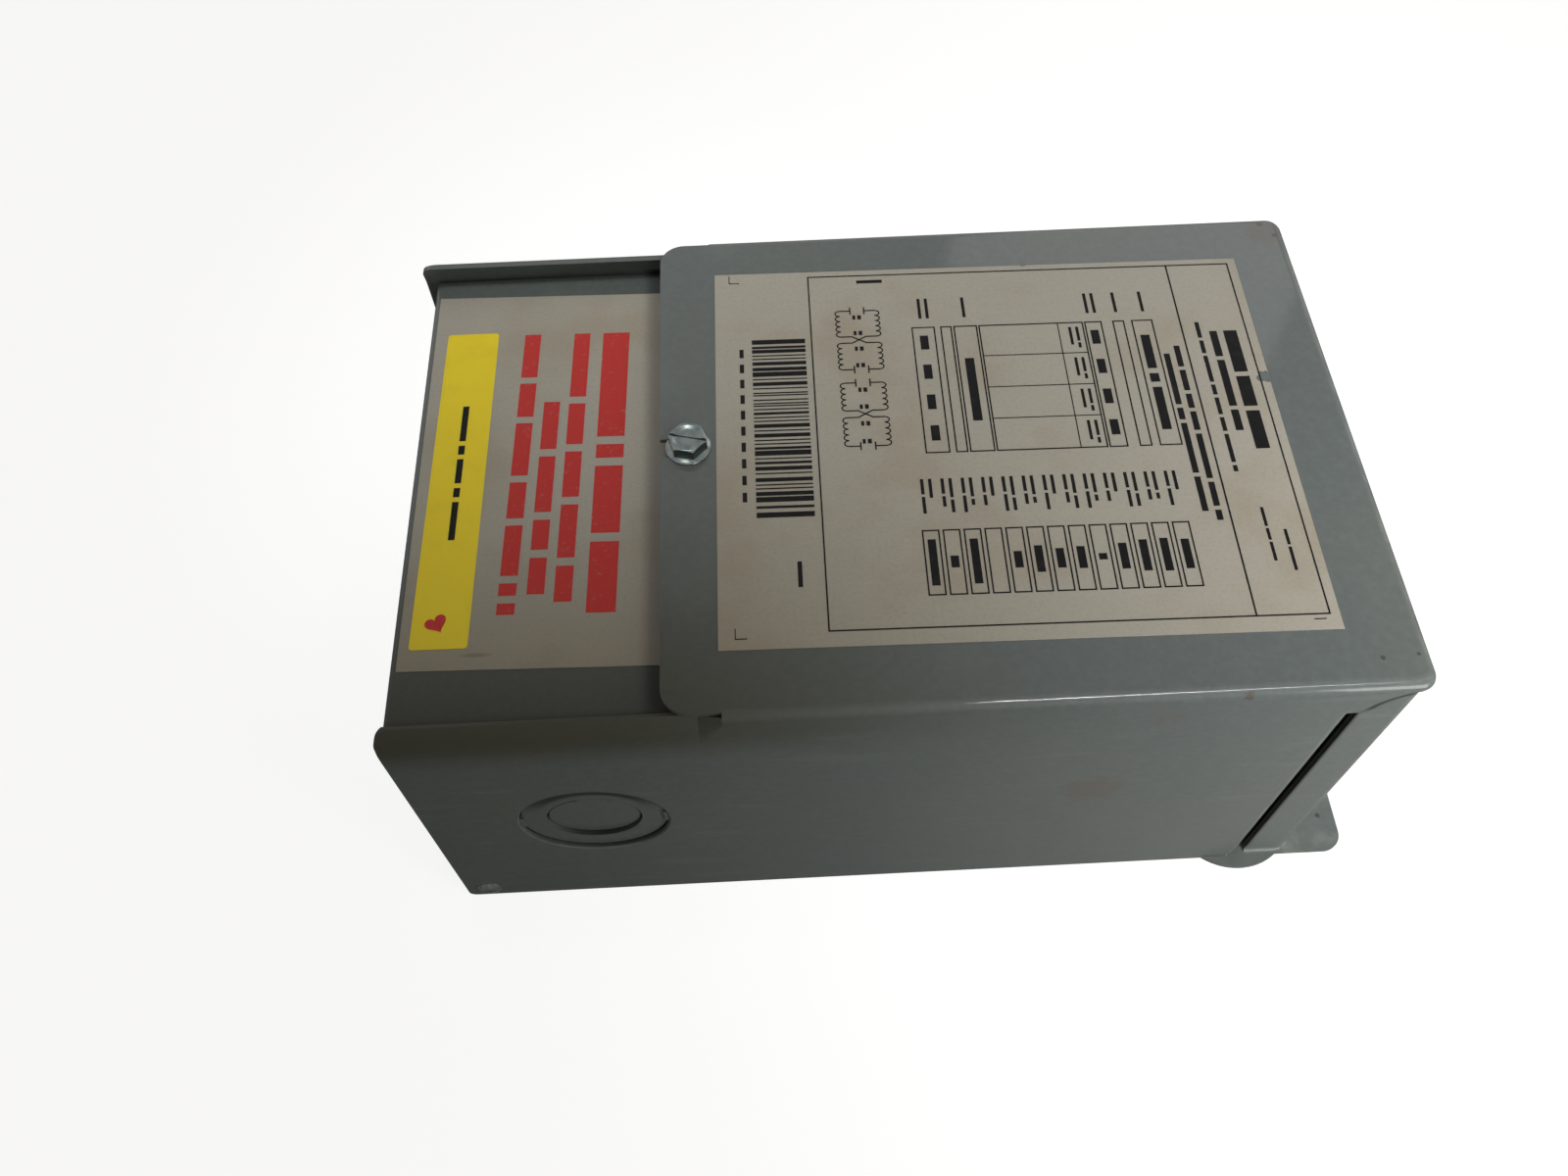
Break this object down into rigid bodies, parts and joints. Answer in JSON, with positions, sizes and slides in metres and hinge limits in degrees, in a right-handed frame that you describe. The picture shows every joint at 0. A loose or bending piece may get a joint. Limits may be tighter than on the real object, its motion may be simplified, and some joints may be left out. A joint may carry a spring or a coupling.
{
  "type": "dry-type electrical transformer",
  "caption": "Small dry-type transformer potted in a folded steel case, with a screwed wiring compartment cover, side knockouts and a slotted wall mounting tab.",
  "frame": {"origin": "on the back of the part, under the middle of its bounding box", "axes": "+Z out of the front panel, +X towards the end with the mounting tab (the top on a wall), +Y across the part; the part lies on its back as in the picture"},
  "size_m": [0.2356, 0.1428, 0.1023],
  "materials": {
    "grey_paint": "satin",
    "potting_compound": "matte",
    "zinc_plated_steel": "satin",
    "rivet_steel": "satin",
    "label_film": "matte",
    "yellow_tape": "satin"
  },
  "bodies": {
    "root": {"case_wrapper": "grey_paint", "back_plate": "grey_paint", "end_cap": "grey_paint", "compartment_cover": "grey_paint", "potted_core": "potting_compound", "cover_screw": "zinc_plated_steel", "near_knockout_ring": "grey_paint", "near_knockout_disc": "grey_paint", "far_knockout_ring": "grey_paint", "far_knockout_disc": "grey_paint", "near_rivet": "rivet_steel", "far_rivet": "rivet_steel", "rating_label": "label_film", "cover_label": "label_film", "marking_tape": "yellow_tape"}
  },
  "joints": []
}
